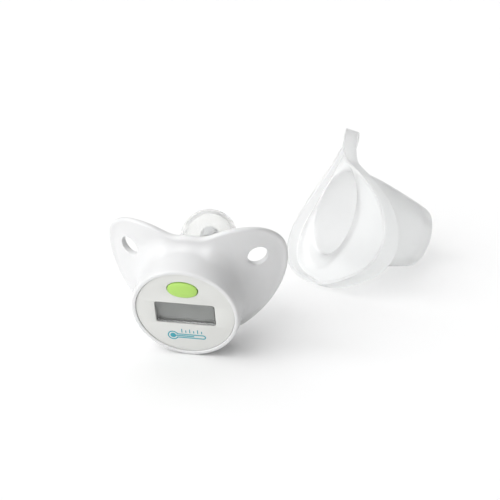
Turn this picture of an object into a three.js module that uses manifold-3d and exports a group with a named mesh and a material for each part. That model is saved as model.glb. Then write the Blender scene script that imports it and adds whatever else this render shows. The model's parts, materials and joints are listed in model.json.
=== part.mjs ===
// Soother-style digital thermometer with its loose protective cap, lying on a table.
//
// Two frames are used. The thermometer and the cap are both drawn in the "shield frame":
//   x = right as the reader looks at the display, y = depth behind the display face, z = up along the face.
// The thermometer group is pitched so that it stands on its bezel rim and on the chin of the shield, and
// the cap group is turned so that it lies on the edge of its flange and on the end of its cup.
// All numbers are millimetres.
import * as THREE from 'three';
import Module from 'manifold-3d';

// ---------- driving dimensions ----------
const REST_PITCH_DEG = 18.05;       // thermometer leans forward by this much on the table
const BARREL_R = 14.0;              // outer radius at the bezel
const BARREL_BACK_R = 13.35;        // outer radius where the barrel leaves the shield
const BARREL_BACK_Y = 15.2;         // depth of the barrel's back edge
const FACE_RECESS_R = 12.72;        // recess that the face plate drops into
const FACE_RECESS_Y = 1.85;
const BORE_R = 11.9;                // electronics bay
const LEDGE_Y0 = 11.9, LEDGE_Y1 = 12.7, LEDGE_R = 7.4;
const BACK_RECESS_R = 11.6;

const WING_Y = 9.2;                 // depth of the shield's front surface on its centre line
const WING_SWEEP_R = 35.0;          // radius of the sweep, wings curve back around it
const WING_T = 1.9;                 // shield thickness
const WING_FILLET = 4.6;            // blend from barrel to shield
// outline radius of the shield every 15 degrees, from straight down (-90) to straight up (+90)
const SHIELD_OUTLINE = [17.0, 16.5, 16.3, 17.2, 18.3, 20.0, 22.1, 24.2, 25.8, 25.1, 21.7, 17.5, 17.1];
const VENT_X = 16.4, VENT_Z = 9.5, VENT_R = 2.7;

const PLATE_R = 12.42, PLATE_Y0 = 0.3, PLATE_Y1 = 1.55;
const WINDOW_W = 15.5, WINDOW_H = 6.8, WINDOW_Z = -0.3;
const BUTTON_Z = 7.7, BUTTON_A = 3.8, BUTTON_B = 2.3, BUTTON_GAP = 0.25;
const BUTTON_TOP_Y = -0.35, BUTTON_FLANGE_A = 4.8, BUTTON_FLANGE_B = 3.2;
const BUTTON_TRAVEL = 0.5;          // stem stops 0.15 short of the snap dome after this travel

const TEAT_Z = 1.0;                 // teat, stem and cap cup sit this much above the barrel axis
const TEAT_TIP_Y = 36.4;
const SCREW_R = 9.0;                // screw circle about the barrel axis
const SCREW_ANGLES = [90, 210, 330];

const CAP_OUTLINE = [17.1, 17.2, 17.6, 18.9, 20.0, 21.2, 23.0, 24.7, 25.85, 25.1, 21.9, 18.8, 17.4];
const CAP_CLEAR = 0.3, CAP_WALL = 1.1, CAP_SEAT_Y = 15.6, CAP_SEAT_GAP = 2.45, CAP_Z = 1.5;
const CAP_RIM_UP = 1.4;             // open rim sits this far behind the shield's front surface
const CAP_CUP_R = 13.3, CAP_END_R = 8.75, CAP_END_Y = 43.2;
const CAP_CUP = [[21.0, 13.1], [25.0, 12.7], [29.4, 11.85], [36.0, 10.4]];   // depth and outer radius between the flange and the end
const CAP_TURN_DEG = 28.5, CAP_TILT_DEG = 22.35, CAP_ROLL_DEG = 75.3;
const CAP_POS = [13.67, 59.98];       // where the cap frame's origin lies on the table

// ---------- materials ----------
const mat = (color, roughness, metalness = 0, extra = {}) =>
  new THREE.MeshStandardMaterial({ color, roughness, metalness, ...extra });
const M = {
  housing: mat(0xf4f4f3, 0.32), face: mat(0xd9dad4, 0.5), lens: mat(0xdfe6e4, 0.05, 0, { transparent: true, opacity: 0.35 }),
  lcd: mat(0x8f918d, 0.25), holder: mat(0xe6e6e0, 0.6), rubber: mat(0x2b2b2d, 0.85), board: mat(0x1f6b3c, 0.45),
  chip: mat(0x17171a, 0.4), ceramic: mat(0xb59a6a, 0.5), button: mat(0x93dc4b, 0.45), steel: mat(0xb9bcc0, 0.28, 1.0),
  brass: mat(0xc9a24a, 0.35, 1.0), silicone: mat(0xeef0ea, 0.2, 0, { transparent: true, opacity: 0.45 }),
  stem: mat(0xcfd0cd, 0.4), seal: mat(0x3a3c40, 0.8), wireA: mat(0xb3262a, 0.6), wireB: mat(0x20242a, 0.6),
  cap: mat(0xeef1ef, 0.18, 0, { transparent: true, opacity: 0.5 }),
};

// ---------- helpers ----------
const wasm = await Module();
wasm.setup();
const RAD = Math.PI / 180;

// join coincident vertices, so that every solid is a closed triangle mesh
function weld(positions, indices) {
  const map = new Map(), verts = [], tri = [];
  const key = (i) => [0, 1, 2].map((k) => Math.round(positions[3 * i + k] * 1e4)).join(',');
  const remap = new Int32Array(positions.length / 3);
  for (let i = 0; i < positions.length / 3; i++) {
    const k = key(i);
    if (!map.has(k)) { map.set(k, verts.length / 3); verts.push(positions[3 * i], positions[3 * i + 1], positions[3 * i + 2]); }
    remap[i] = map.get(k);
  }
  for (let t = 0; t < indices.length; t += 3) {
    const a = remap[indices[t]], b = remap[indices[t + 1]], c = remap[indices[t + 2]];
    if (a !== b && b !== c && a !== c) tri.push(a, b, c);
  }
  let vol = 0;
  for (let t = 0; t < tri.length; t += 3) {
    const [a, b, c] = [tri[t], tri[t + 1], tri[t + 2]].map((i) => [verts[3 * i], verts[3 * i + 1], verts[3 * i + 2]]);
    vol += a[0] * (b[1] * c[2] - b[2] * c[1]) + a[1] * (b[2] * c[0] - b[0] * c[2]) + a[2] * (b[0] * c[1] - b[1] * c[0]);
  }
  if (vol < 0) for (let t = 0; t < tri.length; t += 3) { const s = tri[t + 1]; tri[t + 1] = tri[t + 2]; tri[t + 2] = s; }
  return { verts, tri };
}
function geomOf({ verts, tri }) {
  const g = new THREE.BufferGeometry();
  g.setAttribute('position', new THREE.Float32BufferAttribute(verts, 3));
  g.setIndex(tri);
  g.computeVertexNormals();
  return g;
}
function closed(g) {
  const p = Array.from(g.attributes.position.array);
  const idx = g.index ? Array.from(g.index.array) : p.slice(0, p.length / 3).map((_, i) => i);
  return geomOf(weld(p, idx));
}
const toManifold = (g) => {
  const c = closed(g);
  return new wasm.Manifold(new wasm.Mesh({
    numProp: 3, vertProperties: new Float32Array(c.attributes.position.array), triVerts: new Uint32Array(c.index.array) }));
};
const fromManifold = (m) => {
  const r = m.getMesh();
  return geomOf({ verts: Array.from(r.vertProperties), tri: Array.from(r.triVerts) });
};
// cut and join: base geometry, list of tools to add, list of tools to take away
function carve(base, add = [], cut = []) {
  let m = toManifold(base);
  for (const g of add) m = m.add(toManifold(g));
  for (const g of cut) m = m.subtract(toManifold(g));
  return fromManifold(m);
}
// body of revolution about the depth axis; points are [radius, depth]
function turn(points, seg = 32, x = 0, z = 0) {
  const g = new THREE.LatheGeometry(points.map(([r, y]) => new THREE.Vector2(r, y)), seg);
  g.translate(x, 0, z);
  return closed(g);
}
const ring = (r0, r1, y0, y1, seg = 32, x = 0, z = 0) => turn([[r0, y0], [r1, y0], [r1, y1], [r0, y1], [r0, y0]], seg, x, z);
const disc = (r, y0, y1, seg = 32, x = 0, z = 0) => turn([[0, y0], [r, y0], [r, y1], [0, y1]], seg, x, z);
// plate cut from a flat shape drawn in x and z, between two depths
function plate(shape, y0, y1, curveSegments = 12) {
  const g = new THREE.ExtrudeGeometry(shape, { depth: y1 - y0, bevelEnabled: false, curveSegments });
  g.rotateX(Math.PI / 2);
  g.translate(0, y1, 0);
  return closed(g);
}
const box = (w, d, h, x, y, z) => closed(new THREE.BoxGeometry(w, d, h).translate(x, y, z));
function roundedRect(w, h, r, cx = 0, cz = 0, Type = THREE.Shape) {
  const s = new Type();
  const x0 = cx - w / 2, x1 = cx + w / 2, z0 = cz - h / 2, z1 = cz + h / 2;
  s.moveTo(x0 + r, z0); s.lineTo(x1 - r, z0); s.absarc(x1 - r, z0 + r, r, -Math.PI / 2, 0);
  s.lineTo(x1, z1 - r); s.absarc(x1 - r, z1 - r, r, 0, Math.PI / 2);
  s.lineTo(x0 + r, z1); s.absarc(x0 + r, z1 - r, r, Math.PI / 2, Math.PI);
  s.lineTo(x0, z0 + r); s.absarc(x0 + r, z0 + r, r, Math.PI, 1.5 * Math.PI);
  return s;
}
// skin made of sections: every section is a closed ring of n points, or one point; rings run from one end
// to the other. With loop = true the last ring joins the first one.
function skin(rings, loop = false) {
  const pos = [], start = [];
  for (const r of rings) { start.push(pos.length / 3); for (const p of r) pos.push(...p); }
  const tri = [], count = loop ? rings.length : rings.length - 1;
  for (let j = 0; j < count; j++) {
    const k = (j + 1) % rings.length, a = rings[j], b = rings[k], n = Math.max(a.length, b.length);
    for (let i = 0; i < n; i++) {
      const i2 = (i + 1) % n;
      if (a.length > 1 && b.length > 1) tri.push(start[j] + i, start[j] + i2, start[k] + i2, start[j] + i, start[k] + i2, start[k] + i);
      else if (a.length === 1) tri.push(start[j], start[k] + i2, start[k] + i);
      else tri.push(start[j] + i, start[j] + i2, start[k]);
    }
  }
  return geomOf(weld(pos, tri));
}
// smooth periodic radius from values given every 15 degrees on one half of a mirrored outline
function outlineRadius(half, phi) {
  const full = [...half, ...half.slice(1, -1).reverse()];
  const u = (((phi / RAD + 90) / 15) % 24 + 24) % 24;
  const i = Math.floor(u), t = u - i, n = full.length;
  const [p0, p1, p2, p3] = [-1, 0, 1, 2].map((k) => full[(i + k + n) % n]);
  return 0.5 * (2 * p1 + (p2 - p0) * t + (2 * p0 - 5 * p1 + 4 * p2 - p3) * t * t + (3 * p1 - p0 - 3 * p2 + p3) * t * t * t);
}
const sweepY = (x) => WING_Y + WING_SWEEP_R - Math.sqrt(WING_SWEEP_R ** 2 - x * x);
const angles = (n) => Array.from({ length: n }, (_, i) => (i / n) * 2 * Math.PI);

// ---------- shield housing: barrel, swept shield, vents, electronics bay ----------
function shieldWing() {
  const n = 60;
  const sections = [];
  const profile = (phi) => {
    const ro = Math.max(outlineRadius(SHIELD_OUTLINE, phi), 12.6);
    const free = Math.max(ro - 13.6, 0);
    const f = Math.min(WING_FILLET, 0.75 * free + 0.05);
    const e = Math.min(1.25, 0.45 * free + 0.1);       // edge rounding
    const front = (rho) => {
      const s = Math.min(Math.max(rho - 13.6, 0), f);
      const lift = rho < 13.6 ? f : f - Math.sqrt(Math.max(f * f - (f - s) ** 2, 0));
      return sweepY(rho * Math.cos(phi)) - lift;
    };
    const back = (rho) => sweepY(rho * Math.cos(phi)) + WING_T;
    const pts = [];
    const r0 = 10.4, rEdge = ro - e;
    pts.push([r0, front(r0)]);
    const fillet = [0, 0.12, 0.3, 0.55, 1].map((t) => 13.6 + (Math.min(13.6 + f, rEdge) - 13.6) * t);
    for (const r of fillet) pts.push([Math.min(r, rEdge), front(Math.min(r, rEdge))]);
    for (const t of [0.5, 1]) { const a = fillet[4]; const r = Math.min(a, rEdge) + Math.max(rEdge - a, 0) * t; pts.push([r, front(r)]); }
    const yf = front(rEdge), yb = back(rEdge), mid = (yf + yb) / 2, half = (yb - yf) / 2;
    for (const a of [-60, -30, 0, 30, 60]) pts.push([rEdge + e * Math.cos(a * RAD), mid + half * Math.sin(a * RAD)]);
    pts.push([rEdge, yb]);
    for (const t of [0.35, 0.7, 1]) { const r = rEdge + (r0 - rEdge) * t; pts.push([r, back(r)]); }
    return pts;
  };
  const cols = angles(n).map((phi) => profile(phi).map(([r, y]) => [r * Math.cos(phi), y, r * Math.sin(phi)]));
  for (let j = 0; j < cols[0].length; j++) sections.push(cols.map((c) => c[j]));
  return skin(sections, true);
}
function ventTool(side) {
  // a straight hole square to the swept surface, through the shield at the vent's centre
  const slope = Math.asin(VENT_X / WING_SWEEP_R);
  const g = new THREE.CylinderGeometry(VENT_R, VENT_R, 14, 20);
  g.rotateZ(side * slope);                      // cylinder axis starts along depth and follows the surface normal
  g.translate(side * VENT_X, sweepY(VENT_X) + WING_T / 2, VENT_Z);
  return closed(g);
}
function shieldHousing() {
  const barrel = turn([[0, 0], [12.95, 0], [13.55, 0.16], [13.9, 0.55], [BARREL_R, 1.2], [13.88, 5], [13.62, 10],
    [BARREL_BACK_R, 14.3], [13.05, 14.95], [12.5, BARREL_BACK_Y], [0, BARREL_BACK_Y]], 64);
  const screws = SCREW_ANGLES.map((a) => disc(0.75, 11, 13.5, 12, SCREW_R * Math.cos(a * RAD), SCREW_R * Math.sin(a * RAD)));
  return carve(barrel, [shieldWing()], [
    disc(FACE_RECESS_R, -2, FACE_RECESS_Y, 64), disc(BORE_R, 1, LEDGE_Y0, 48), disc(LEDGE_R, 11, 13.5, 40),
    disc(BACK_RECESS_R, LEDGE_Y1, 17, 48), ventTool(1), ventTool(-1), ...screws]);
}

// ---------- face plate, display stack, button ----------
function facePlate() {
  const s = new THREE.Shape();
  s.absarc(0, 0, PLATE_R, 0, 2 * Math.PI);
  s.holes.push(roundedRect(WINDOW_W, WINDOW_H, 0.6, 0, WINDOW_Z, THREE.Path));
  const b = new THREE.Path();
  b.absellipse(0, BUTTON_Z, BUTTON_A + BUTTON_GAP, BUTTON_B + BUTTON_GAP, 0, 2 * Math.PI);
  s.holes.push(b);
  return plate(s, PLATE_Y0, PLATE_Y1, 20);
}
function button() {
  const n = 28, oval = (a, b, y, e = 1) => angles(n).map((t) => {
    const c = Math.cos(t), d = Math.sin(t);
    return [a * Math.sign(c) * Math.abs(c) ** e, y, BUTTON_Z + b * Math.sign(d) * Math.abs(d) ** e];
  });
  const A = BUTTON_A, B = BUTTON_B;
  return skin([[[0, BUTTON_TOP_Y, BUTTON_Z]], oval(A * 0.5, B * 0.42, BUTTON_TOP_Y + 0.02), oval(A * 0.82, B * 0.74, BUTTON_TOP_Y + 0.12),
    oval(A * 0.95, B * 0.92, BUTTON_TOP_Y + 0.32), oval(A, B, BUTTON_TOP_Y + 0.7), oval(A, B, 1.85),
    oval(BUTTON_FLANGE_A, BUTTON_FLANGE_B, 1.85), oval(BUTTON_FLANGE_A, BUTTON_FLANGE_B, 2.5),
    oval(1.1, 1.1, 2.5), oval(1.1, 1.1, 4.0), [[0, 4.0, BUTTON_Z]]]);
}
function lcdHolder() {
  const s = roundedRect(19.6, 10.8, 0.8, 0, WINDOW_Z);
  s.holes.push(roundedRect(18.0, 9.2, 0.4, 0, WINDOW_Z, THREE.Path));
  return plate(s, 3.2, 5.2, 3);      // front edge stays 0.2 behind the button flange when it is pressed home
}
function circuitBoard() {
  const s = new THREE.Shape();
  s.absarc(0, 0, 11.5, 0, 2 * Math.PI);
  return plate(s, 5.5, 6.5, 20);
}
const snapDome = () => turn([[0, 4.65], [1.0, 4.72], [1.9, 4.95], [2.4, 5.25], [2.1, 5.25], [1.7, 5.08], [0.9, 4.88], [0, 4.82]], 20, 0, BUTTON_Z);

// ---------- electronics behind the board ----------
const BATTERY_Z = -5.3;
function clipPlus() {
  // spring strip: foot on the board, leg past the cell, arm over its back
  const s = new THREE.Shape();
  const p = [[6.75, 0.2], [7.05, 0.2], [7.05, -0.8], [11.5, -0.8], [11.5, -6.4], [11.2, -6.4], [11.2, -1.1], [6.75, -1.1]];
  p.forEach(([y, z], i) => (i ? s.lineTo(y, z) : s.moveTo(y, z)));
  const g = new THREE.ExtrudeGeometry(s, { depth: 3, bevelEnabled: false });
  // shape x -> depth, shape y -> up, extrusion -> sideways
  g.applyMatrix4(new THREE.Matrix4().set(0, 0, 1, -5.2, 1, 0, 0, 0, 0, 1, 0, 0, 0, 0, 0, 1));
  return closed(g);
}
function lead(x, r = 0.25) {
  const path = new THREE.LineCurve3(new THREE.Vector3(x, 6.75, TEAT_Z), new THREE.Vector3(x, 29.35, TEAT_Z));
  const s = new THREE.Shape();
  s.absarc(0, 0, r, 0, 2 * Math.PI);
  return closed(new THREE.ExtrudeGeometry(s, { steps: 1, extrudePath: path, curveSegments: 8 }));
}

// ---------- rear closure and teat ----------
function rearCover() {
  const disk = turn([[0, 13.0], [10.3, 13.0], [10.3, 13.9], [11.3, 13.9], [11.3, 14.8], [0, 14.8]], 40);
  const collar = turn([[0, 14], [4.7, 14], [4.7, 17.0], [5.0, 17.3], [4.7, 17.7], [0, 17.7]], 28, 0, TEAT_Z);
  const holes = SCREW_ANGLES.map((a) => disc(0.7, 12, 16, 12, SCREW_R * Math.cos(a * RAD), SCREW_R * Math.sin(a * RAD)));
  return carve(disk, [collar], [disc(2.9, 12, 19, 24, 0, TEAT_Z), ...holes]);
}
function teatRetainer() {
  const holes = SCREW_ANGLES.map((a) => disc(0.7, 14, 18, 12, SCREW_R * Math.cos(a * RAD), SCREW_R * Math.sin(a * RAD)));
  return carve(turn([[0, 15.1], [10.4, 15.1], [10.4, 16.2], [10.0, 16.6], [0, 16.6]], 40), [],
    [disc(6.4, 14, 18, 32, 0, TEAT_Z), disc(6.95, 14, 15.9, 32, 0, TEAT_Z), ...holes]);
}
const TEAT_OUT = [[6.65, 15.1], [6.65, 15.6], [6.12, 15.75], [6.0, 18.5], [6.15, 20.5], [6.7, 23], [7.3, 25.5], [7.6, 28], [7.5, 30.2],
  [6.9, 32.4], [5.8, 34.3], [4.2, 35.6], [2.2, 36.2], [0, TEAT_TIP_Y]];
const TEAT_IN = [[0, 35.1], [2.0, 34.9], [3.7, 34.4], [5.0, 33.3], [5.9, 31.7], [6.4, 29.9], [6.5, 28], [6.2, 25.7], [5.6, 23.4],
  [5.2, 20.8], [5.3, 18.5], [5.3, 15.1]];
const teat = () => turn([...TEAT_OUT].reverse().concat([...TEAT_IN].reverse()), 28, 0, TEAT_Z);
const probeStem = () => turn([[1.4, 12.0], [4.6, 12.0], [4.6, 12.7], [2.6, 12.7], [2.6, 27.0], [1.9, 27.0], [1.9, 29.0], [1.4, 29.0], [1.4, 12.0]], 24, 0, TEAT_Z);
const sensorTip = () => turn([[2.2, 27.3], [2.6, 27.3], [2.6, 30.6], [2.3, 31.2], [1.5, 31.6], [0, 31.75], [0, 31.15], [1.3, 31.05], [2.2, 30.5], [2.2, 27.3]], 24, 0, TEAT_Z);
function screw(i) {
  const a = SCREW_ANGLES[i] * RAD, x = SCREW_R * Math.cos(a), z = SCREW_R * Math.sin(a);
  const body = turn([[0, 12.05], [0.35, 12.05], [0.5, 12.4], [0.5, 16.85], [1.05, 16.85], [1.05, 17.2], [0.8, 17.5], [0, 17.5]], 16, x, z);
  return carve(body, [], [box(0.28, 1, 1.3, x, 17.75, z), box(1.3, 1, 0.28, x, 17.75, z)]);
}

// ---------- protective cap ----------
function protectiveCap() {
  const n = 60, cols = [];
  for (const phi of angles(n)) {
    const c = Math.cos(phi), s = Math.sin(phi);
    const ro = outlineRadius(CAP_OUTLINE, phi);
    const cup = (r, y) => [r * c, y, CAP_Z + r * s];
    const off = (d) => (ro + d);
    // the flange lies along the back of the shield and humps over the barrel's back edge
    const seat = (r) => {
      const low = sweepY(r * c) + WING_T + CAP_SEAT_GAP, t = Math.min(Math.max((r - 13.8) / 2.6, 0), 1);
      return low + Math.max(CAP_SEAT_Y - low, 0) * (1 - t * t * (3 - 2 * t));
    };
    const fl = (r, dy = 0) => [r * c, seat(r) + dy, r * s];
    const rimY = sweepY(off(0.3) * c) + CAP_RIM_UP;
    const out = off(CAP_CLEAR + CAP_WALL), inn = off(CAP_CLEAR);
    const W = CAP_WALL;
    const mouth = cup(CAP_CUP_R - W, CAP_SEAT_Y + 0.55);
    const mouthF = fl(CAP_CUP_R - W + 0.9 + CAP_Z * s);
    const flangeR = [0.2, 0.45, 0.7].map((t) => { const a = CAP_CUP_R + 1.0 + CAP_Z * s; return a + (inn - 0.9 - a) * t; });
    const base = cup(CAP_CUP_R, CAP_SEAT_Y + W + 0.9);
    const baseF = fl(CAP_CUP_R + 1.3 + CAP_Z * s, W);
    cols.push([
      cup(CAP_END_R - W - 2.2, CAP_END_Y - W), cup(CAP_END_R - W - 0.4, CAP_END_Y - W - 0.7), cup(CAP_END_R - W + 0.35, CAP_END_Y - W - 2.2),
      ...[...CAP_CUP].reverse().map(([y, r]) => cup(r - W, y)), mouth,
      mouthF, ...flangeR.map((r) => fl(r)), fl(inn - 0.6), [inn * c, seat(inn) - 0.6, inn * s],
      [inn * c, rimY, inn * s], [out * c, rimY, out * s],
      [out * c, seat(out) + W - 1.1, out * s], [(out - 0.35) * c, seat(out) + W - 0.3, (out - 0.35) * s], fl(out - 1.2, W),
      ...[...flangeR].reverse().map((r) => fl(r + 0.25, W)), baseF, base, ...CAP_CUP.map(([y, r]) => cup(r, y)),
      cup(CAP_END_R + 0.35, CAP_END_Y - 2.2), cup(CAP_END_R - 0.4, CAP_END_Y - 0.7), cup(CAP_END_R - 2.0, CAP_END_Y),
    ]);
  }
  const rings = [[[0, CAP_END_Y - CAP_WALL, CAP_Z]]];
  for (let j = 0; j < cols[0].length; j++) rings.push(cols.map((q) => q[j]));
  rings.push([[0, CAP_END_Y, CAP_Z]]);
  return skin(rings);
}

// ---------- assembly ----------
const root = new THREE.Group();
const thermometer = new THREE.Group();
const capGroup = new THREE.Group();
function put(group, name, geometry, material) {
  const m = new THREE.Mesh(geometry, material);
  m.name = name;
  group.add(m);
  return m;
}
put(thermometer, 'shield_housing', shieldHousing(), M.housing);
put(thermometer, 'face_plate', facePlate(), M.face);
// clear window: a flange behind the face plate and a raised pad that fills the opening almost flush
put(thermometer, 'display_lens', carve(plate(roundedRect(18.4, 9.0, 0.5, 0, WINDOW_Z), 1.85, 2.55, 3),
  [plate(roundedRect(WINDOW_W - 0.3, WINDOW_H - 0.3, 0.45, 0, WINDOW_Z), 0.5, 2.0, 3)]), M.lens);
put(thermometer, 'lcd_panel', box(17.4, 1.1, 8.6, 0, 3.4, WINDOW_Z), M.lcd);
put(thermometer, 'lcd_holder', lcdHolder(), M.holder);
put(thermometer, 'elastomer_connector', box(15, 1.05, 1.3, 0, 4.725, -3.85), M.rubber);
put(thermometer, 'power_button', button(), M.button);
put(thermometer, 'snap_dome', snapDome(), M.steel);
put(thermometer, 'circuit_board', circuitBoard(), M.board);
put(thermometer, 'chip_blob', turn([[0, 6.75], [2.6, 6.75], [2.35, 7.3], [1.6, 7.75], [0, 7.95]], 20, -5.4, 4.9), M.chip);
put(thermometer, 'buzzer', turn([[0, 6.75], [3.6, 6.75], [3.6, 8.1], [3.35, 8.35], [0.6, 8.35], [0.6, 7.9], [0, 7.9]], 24, 4.7, 5.6), M.chip);
put(thermometer, 'chip_capacitor', box(2.0, 0.9, 1.2, 7.6, 7.2, -2.6), M.ceramic);
put(thermometer, 'chip_resistor', box(1.6, 0.6, 0.8, -7.6, 7.05, -1.6), M.chip);
put(thermometer, 'battery_contact_minus', box(5.6, 0.3, 4.4, 0.6, 6.9, BATTERY_Z), M.brass);
put(thermometer, 'battery', turn([[0, 7.3], [3.3, 7.3], [3.3, 7.65], [3.85, 7.65], [3.95, 7.8], [3.95, 10.75], [3.8, 10.95], [0, 10.95]], 28, 0, BATTERY_Z), M.steel);
put(thermometer, 'battery_contact_plus', clipPlus(), M.brass);
put(thermometer, 'seal_ring', (() => {
  const g = new THREE.TorusGeometry(10.95, 0.34, 6, 40).rotateX(Math.PI / 2).translate(0, 13.3, 0);
  return closed(g);
})(), M.seal);
put(thermometer, 'rear_cover', rearCover(), M.housing);
put(thermometer, 'teat_retainer', teatRetainer(), M.housing);
SCREW_ANGLES.forEach((_, i) => put(thermometer, `retainer_screw_${i + 1}`, screw(i), M.steel));
put(thermometer, 'teat', teat(), M.silicone);
put(thermometer, 'probe_stem', probeStem(), M.stem);
put(thermometer, 'sensor_tip', sensorTip(), M.steel);
put(thermometer, 'thermistor', closed(new THREE.SphereGeometry(0.62, 12, 8).translate(0, 30.25, TEAT_Z)), M.ceramic);
put(thermometer, 'sensor_lead_1', lead(0.6), M.wireA);
put(thermometer, 'sensor_lead_2', lead(-0.6), M.wireB);
put(capGroup, 'protective_cap', protectiveCap(), M.cap);

// thermometer stands on the bezel rim and the chin: pitch the back up, then drop it onto the table
thermometer.rotation.x = REST_PITCH_DEG * RAD;
// cap: roll about its own depth axis, tip the cup end down, turn it on the table
{
  const r = CAP_ROLL_DEG * RAD, c = Math.cos(r), s = Math.sin(r);
  const lie = new THREE.Matrix4().makeBasis(new THREE.Vector3(0, -s, -c), new THREE.Vector3(1, 0, 0), new THREE.Vector3(0, -c, s));
  const tilt = new THREE.Matrix4().makeRotationY(CAP_TILT_DEG * RAD);
  const turnM = new THREE.Matrix4().makeRotationZ(CAP_TURN_DEG * RAD);
  const m = turnM.multiply(tilt).multiply(lie);
  capGroup.quaternion.setFromRotationMatrix(m);
  capGroup.position.set(CAP_POS[0], CAP_POS[1], 0);
}
root.add(thermometer, capGroup);
// drop both groups so that their lowest points are on the table, then centre the whole part on the origin
for (const g of [thermometer, capGroup]) {
  g.updateMatrixWorld(true);
  g.position.z -= new THREE.Box3().setFromObject(g, true).min.z;
}
root.updateMatrixWorld(true);
const all = new THREE.Box3().setFromObject(root, true);
root.position.set(-(all.min.x + all.max.x) / 2, -(all.min.y + all.max.y) / 2, 0);
export default root;
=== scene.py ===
# Looks of the soother-style thermometer and its loose clear cap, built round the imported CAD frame.
# Lengths in the shape code are millimetres in the "shield frame": x right, y depth behind the display, z up along
# the face. Two matrices carry that frame into the row frame, one for the thermometer and one for the cap.
import bpy, bmesh, json, math
import numpy as np
from mathutils import Matrix, Vector


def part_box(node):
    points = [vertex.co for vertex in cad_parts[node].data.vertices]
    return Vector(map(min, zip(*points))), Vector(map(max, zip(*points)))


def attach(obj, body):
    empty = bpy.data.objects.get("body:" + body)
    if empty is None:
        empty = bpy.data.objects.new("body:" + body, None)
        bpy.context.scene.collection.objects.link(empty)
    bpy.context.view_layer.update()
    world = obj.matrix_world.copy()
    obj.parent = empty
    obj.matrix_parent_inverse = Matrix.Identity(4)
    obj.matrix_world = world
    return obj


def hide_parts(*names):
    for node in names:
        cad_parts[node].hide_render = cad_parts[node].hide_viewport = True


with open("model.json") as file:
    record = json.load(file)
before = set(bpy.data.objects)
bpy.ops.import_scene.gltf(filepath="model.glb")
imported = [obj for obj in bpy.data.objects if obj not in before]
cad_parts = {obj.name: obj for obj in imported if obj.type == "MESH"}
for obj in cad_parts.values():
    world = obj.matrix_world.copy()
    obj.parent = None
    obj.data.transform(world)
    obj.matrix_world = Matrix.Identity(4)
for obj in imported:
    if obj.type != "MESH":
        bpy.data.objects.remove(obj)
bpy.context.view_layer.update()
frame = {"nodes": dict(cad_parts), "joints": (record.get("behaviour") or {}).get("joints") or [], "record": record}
scene = bpy.context.scene
NODES = frame["nodes"]
RAD = math.pi / 180

# ------------------------------------------------------------------ dimensions shared with the CAD
BARREL_R, BARREL_BACK_R, BARREL_BACK_Y = 14.0, 13.35, 15.2
FACE_RECESS_R, FACE_RECESS_Y, BORE_R = 12.72, 1.85, 11.9
LEDGE_Y0, LEDGE_Y1, LEDGE_R, BACK_RECESS_R = 11.9, 12.7, 7.4, 11.6
WING_Y, WING_SWEEP_R, WING_T, WING_FILLET = 9.2, 35.0, 1.9, 4.6
SHIELD_OUTLINE = [17.0, 16.5, 16.3, 17.2, 18.3, 20.0, 22.1, 24.2, 25.8, 25.1, 21.7, 17.5, 17.1]
VENT_X, VENT_Z, VENT_R = 16.4, 9.5, 2.7
PLATE_R, PLATE_Y0, PLATE_Y1 = 12.42, 0.3, 1.55
WINDOW_W, WINDOW_H, WINDOW_Z = 15.5, 6.8, -0.3
BUTTON_Z, BUTTON_A, BUTTON_B, BUTTON_TOP_Y = 7.7, 3.8, 2.3, -0.35
TEAT_Z, TEAT_TIP_Y = 1.0, 36.4
SCREW_R, SCREW_ANGLES = 9.0, (90, 210, 330)
CAP_OUTLINE = [17.1, 17.2, 17.6, 18.9, 20.0, 21.2, 23.0, 24.7, 25.85, 25.1, 21.9, 18.8, 17.4]
CAP_CLEAR, CAP_WALL, CAP_SEAT_Y, CAP_SEAT_GAP, CAP_Z = 0.3, 1.1, 15.6, 2.45, 1.5
CAP_RIM_UP, CAP_CUP_R = 1.4, 13.3
CAP_END_R, CAP_END_Y = 8.75, 43.2
CAP_CUP = [(21.0, 13.1), (25.0, 12.7), (29.4, 11.85), (36.0, 10.4)]
CAP_TURN_DEG, CAP_TILT_DEG, CAP_ROLL_DEG = 28.5, 22.35, 75.3

# ------------------------------------------------------------------ where the two shield frames lie
press = next(j for j in frame["joints"] if j["name"] == "button_press")
AX = Vector(press["axis"]).normalized()                      # depth axis of the thermometer
UPV = Vector((0, -AX.z, AX.y))
lo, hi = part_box("circuit_board")
board = [v.co for v in NODES["circuit_board"].data.vertices]
mid = sum((Vector(p) for p in (map(min, zip(*board)), map(max, zip(*board)))), Vector()) / 2
T_ORIGIN = mid * 1000 - AX * 6.0                             # board runs from 5.5 to 6.5 mm deep
T_MAT = Matrix(((1, AX.x, UPV.x, T_ORIGIN.x), (0, AX.y, UPV.y, T_ORIGIN.y), (0, AX.z, UPV.z, T_ORIGIN.z), (0, 0, 0, 1)))
_r = CAP_ROLL_DEG * RAD
LIE = Matrix(((0, 1, 0), (-math.sin(_r), 0, -math.cos(_r)), (-math.cos(_r), 0, math.sin(_r))))
C_ROT = Matrix.Rotation(CAP_TURN_DEG * RAD, 3, "Z") @ Matrix.Rotation(CAP_TILT_DEG * RAD, 3, "Y") @ LIE
end_mount = next(m for m in frame["record"]["mounts"] if m["name"] == "cap_end_flat")
C_ORIGIN = Vector(end_mount["pos_m"]) * 1000 - C_ROT @ Vector((0, CAP_END_Y, CAP_Z))
C_MAT = Matrix.Translation(C_ORIGIN) @ C_ROT.to_4x4()

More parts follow.
